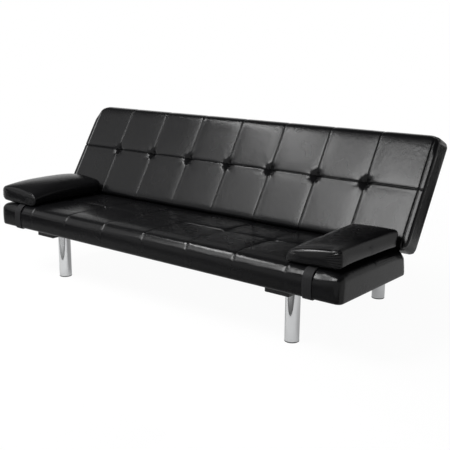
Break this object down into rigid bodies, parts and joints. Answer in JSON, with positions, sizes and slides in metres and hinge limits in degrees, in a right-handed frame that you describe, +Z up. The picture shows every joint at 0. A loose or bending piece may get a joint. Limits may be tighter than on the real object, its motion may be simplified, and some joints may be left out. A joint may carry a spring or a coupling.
{
  "type": "futon sofa bed",
  "caption": "Armless folding sofa bed with tufted leatherette seat and reclining back, strapped arm pillows, base rails and round chrome legs.",
  "frame": {"origin": "on the floor under the middle of the bounding box", "axes": "+X along the sofa to the right seen from the front, +Y to the back, +Z up"},
  "size_m": [1.68, 0.75, 0.6579],
  "materials": {
    "black_leatherette": "semi-gloss grained leatherette over fibre wadding",
    "black_rail_paint": "satin powder coat",
    "chrome_tube": "polished",
    "black_plastic": "moulded",
    "black_rubber": "matt",
    "black_webbing": "woven elastic webbing",
    "black_lining_cloth": "non-woven",
    "padding": "open-cell foam and fibre",
    "tuft_twine": "waxed",
    "hardboard": "smooth",
    "frame_timber": "sawn pine",
    "zinc_steel": "zinc plated"
  },
  "bodies": {
    "base": {"back_support_pads": "black_rubber", "foot_glides": "black_plastic", "front_left_leg": "chrome_tube", "front_right_leg": "chrome_tube", "hinge_rivets": "zinc_steel", "hinge_seat_bolts": "zinc_steel", "hinge_seat_nuts": "zinc_steel", "left_base_rail": "black_rail_paint", "left_hinge_outer_plate": "zinc_steel", "left_hinge_pivot_pin": "zinc_steel", "left_hinge_seat_plate": "zinc_steel", "leg_bolts": "zinc_steel", "leg_nuts": "zinc_steel", "rail_bolts": "zinc_steel", "rail_end_caps": "black_plastic", "rear_left_leg": "chrome_tube", "rear_right_leg": "chrome_tube", "right_base_rail": "black_rail_paint", "right_hinge_outer_plate": "zinc_steel", "right_hinge_pivot_pin": "zinc_steel", "right_hinge_seat_plate": "zinc_steel", "seat_cover": "black_leatherette", "seat_dust_cover": "black_lining_cloth", "seat_foam": "padding", "seat_front_rail": "frame_timber", "seat_hinge_cheek_rails": "frame_timber", "seat_left_cross_rail": "frame_timber", "seat_left_end_rail": "frame_timber", "seat_rear_rail": "frame_timber", "seat_rear_stub_rails": "frame_timber", "seat_right_cross_rail": "frame_timber", "seat_right_end_rail": "frame_timber", "seat_spring_clips": "zinc_steel", "seat_springs": "zinc_steel"},
    "backrest": {"back_board": "hardboard", "back_cover": "black_leatherette", "back_foam": "padding", "back_left_end_rail": "frame_timber", "back_left_upright": "frame_timber", "back_lower_rail": "frame_timber", "back_middle_uprights": "frame_timber", "back_rear_panel": "black_lining_cloth", "back_right_end_rail": "frame_timber", "back_right_upright": "frame_timber", "back_tuft_ties": "tuft_twine", "back_tuft_washers": "black_plastic", "back_upper_rail": "frame_timber", "hinge_back_bolts": "zinc_steel", "hinge_back_nuts": "zinc_steel", "left_hinge_back_arm": "zinc_steel", "right_hinge_back_arm": "zinc_steel"},
    "right_pillow": {"right_pillow_cover": "black_leatherette", "right_pillow_filling": "padding", "right_pillow_strap": "black_webbing"},
    "left_pillow": {"left_pillow_cover": "black_leatherette", "left_pillow_filling": "padding", "left_pillow_strap": "black_webbing"}
  },
  "joints": [
    {"name": "backrest_fold", "type": "hinge", "parent": "base", "child": "backrest", "pos_m": [0, 0.02772, 0.24321], "axis": [-1, 0, 0], "range_deg": [-6, 59]},
    {"name": "right_pillow_slide", "type": "slide", "parent": "base", "child": "right_pillow", "axis": [1, 0, 0], "range_m": [-0.04, 0.26]},
    {"name": "left_pillow_slide", "type": "slide", "parent": "base", "child": "left_pillow", "axis": [-1, 0, 0], "range_m": [-0.04, 0.26]}
  ]
}
